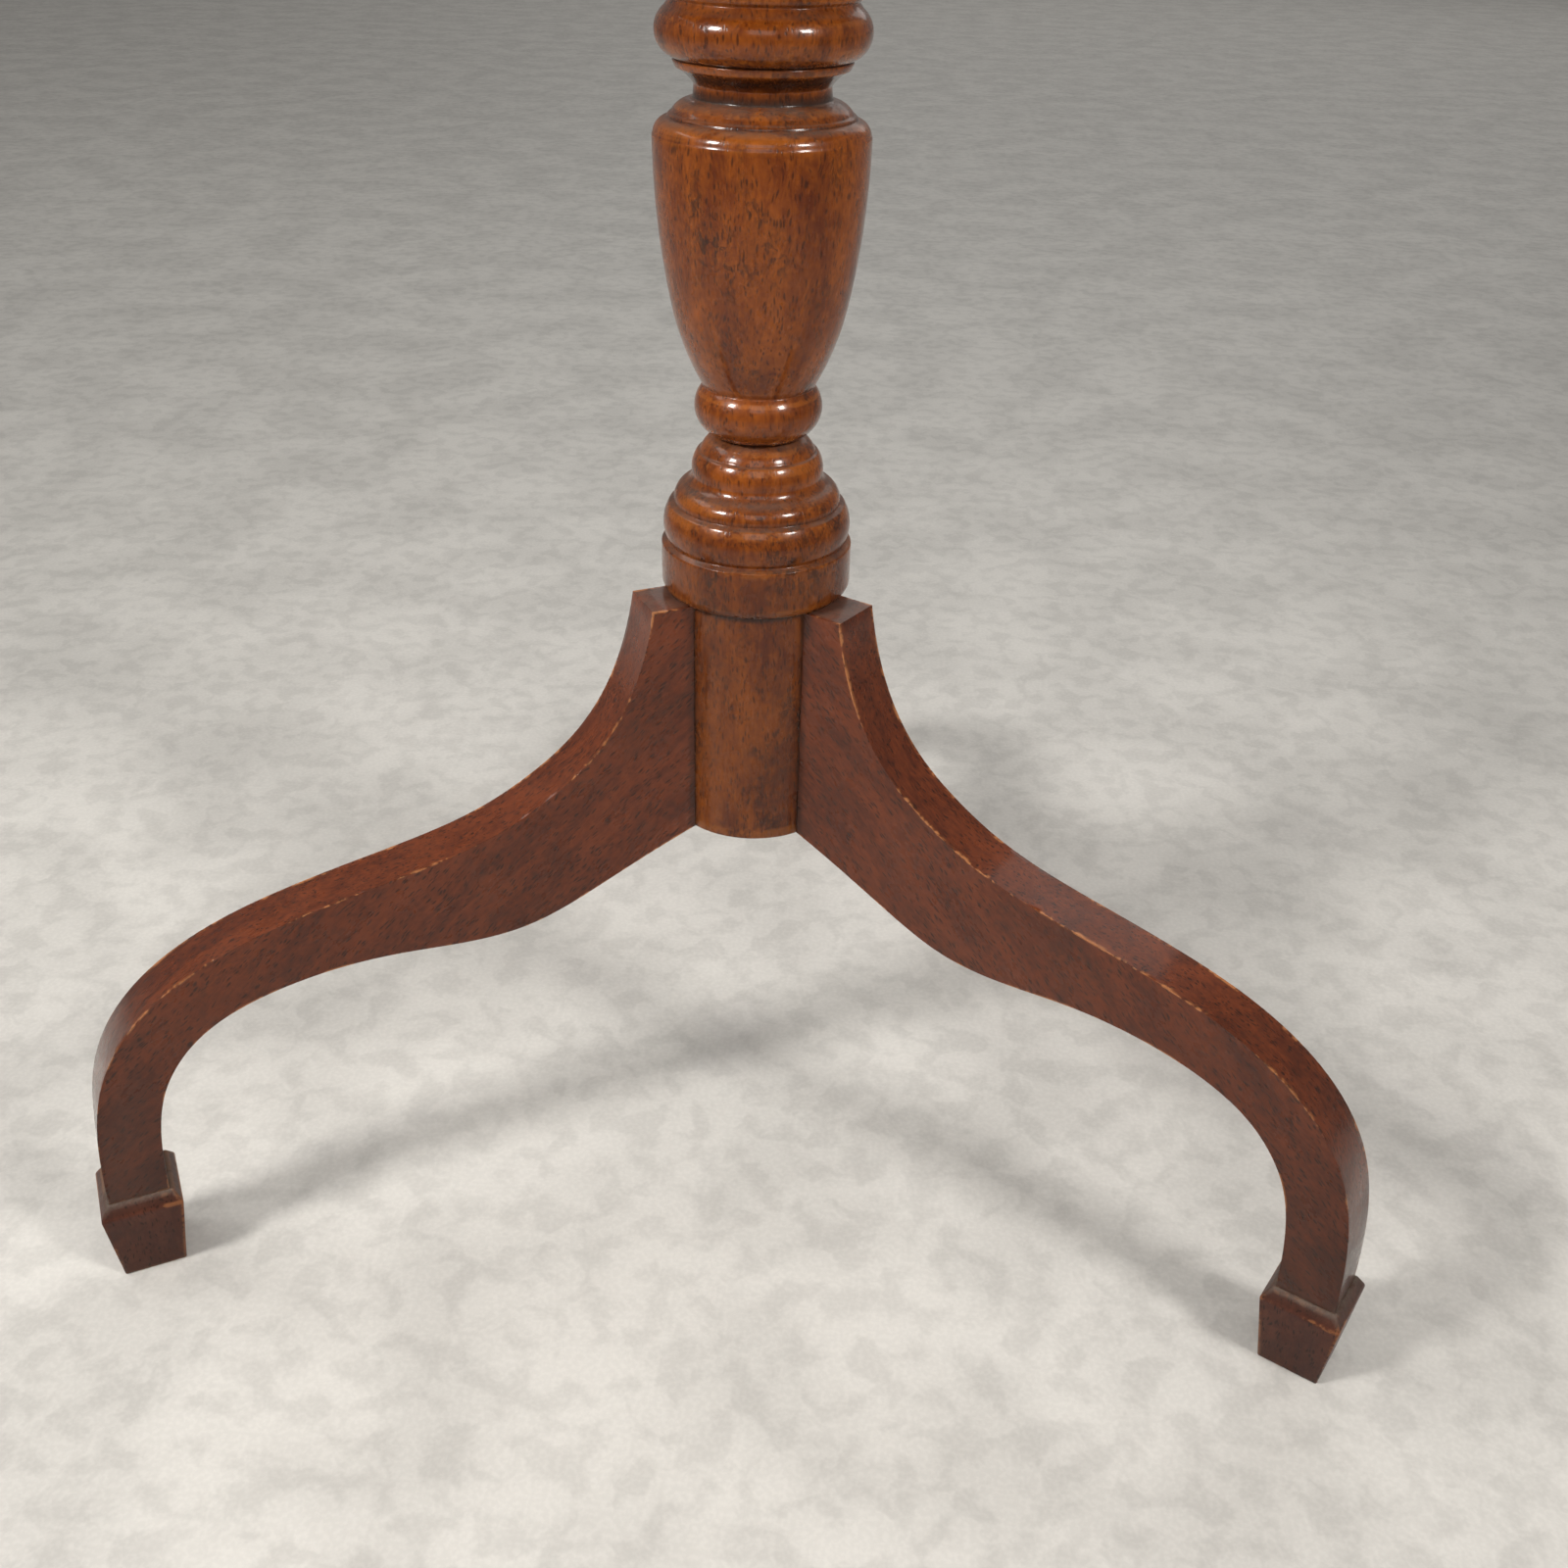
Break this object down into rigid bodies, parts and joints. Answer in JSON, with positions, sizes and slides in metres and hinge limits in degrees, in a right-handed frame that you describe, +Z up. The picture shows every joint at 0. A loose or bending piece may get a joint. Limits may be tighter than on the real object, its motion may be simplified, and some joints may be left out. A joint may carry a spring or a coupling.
{
  "type": "tilt top table",
  "caption": "Round tilt top table: a turned urn pedestal on splayed sabre legs with spade feet, and a top that tips up to vertical and latches flat.",
  "frame": {"origin": "on the floor, under the axis of the turned column", "axes": "+Z up; the back leg points along +Y and the front legs at 210 and 330 degrees; the pivot lies along X near the front, so the back edge of the top rises and the tipped top faces -Y"},
  "size_m": [0.6499, 0.65, 0.72],
  "materials": {
    "column_mahogany": "french polished, warm orange brown",
    "leg_mahogany": "french polished, dark red brown",
    "foot_mahogany": "french polished, dark and worn",
    "top_mahogany": "french polished",
    "block_mahogany": "dull, unpolished underside",
    "plain_wood": "bare hardwood",
    "old_brass": "aged brass",
    "screw_steel": "old steel",
    "spring_steel": "steel wire"
  },
  "bodies": {
    "pedestal": {"column": "column_mahogany", "tenon_wedges": "plain_wood", "leg_back": "leg_mahogany", "leg_left": "leg_mahogany", "leg_right": "leg_mahogany", "foot_back": "foot_mahogany", "foot_left": "foot_mahogany", "foot_right": "foot_mahogany", "top_block": "block_mahogany", "pivot_dowel_left": "plain_wood", "pivot_dowel_right": "plain_wood", "striker_plate": "old_brass", "striker_screws": "screw_steel"},
    "tilting_top": {"board_front": "top_mahogany", "board_centre": "top_mahogany", "board_back": "top_mahogany", "bearer_left": "block_mahogany", "bearer_right": "block_mahogany", "bearer_screws": "screw_steel", "latch_plate": "old_brass", "latch_case": "old_brass", "latch_screws": "screw_steel", "latch_spring": "spring_steel"},
    "bolt": {"latch_bolt": "old_brass", "latch_knob": "old_brass"}
  },
  "joints": [
    {"name": "top_tilt", "type": "hinge", "parent": "pedestal", "child": "tilting_top", "pos_m": [0, -0.05, 0.6867], "axis": [1, 0, 0], "range_deg": [0, 90]},
    {"name": "latch_slide", "type": "slide", "parent": "tilting_top", "child": "bolt", "axis": [0, 1, 0], "range_m": [0, 0.008], "stiffness_N_per_m": 250, "springref_m": -0.01, "deforming": ["latch_spring"]}
  ]
}
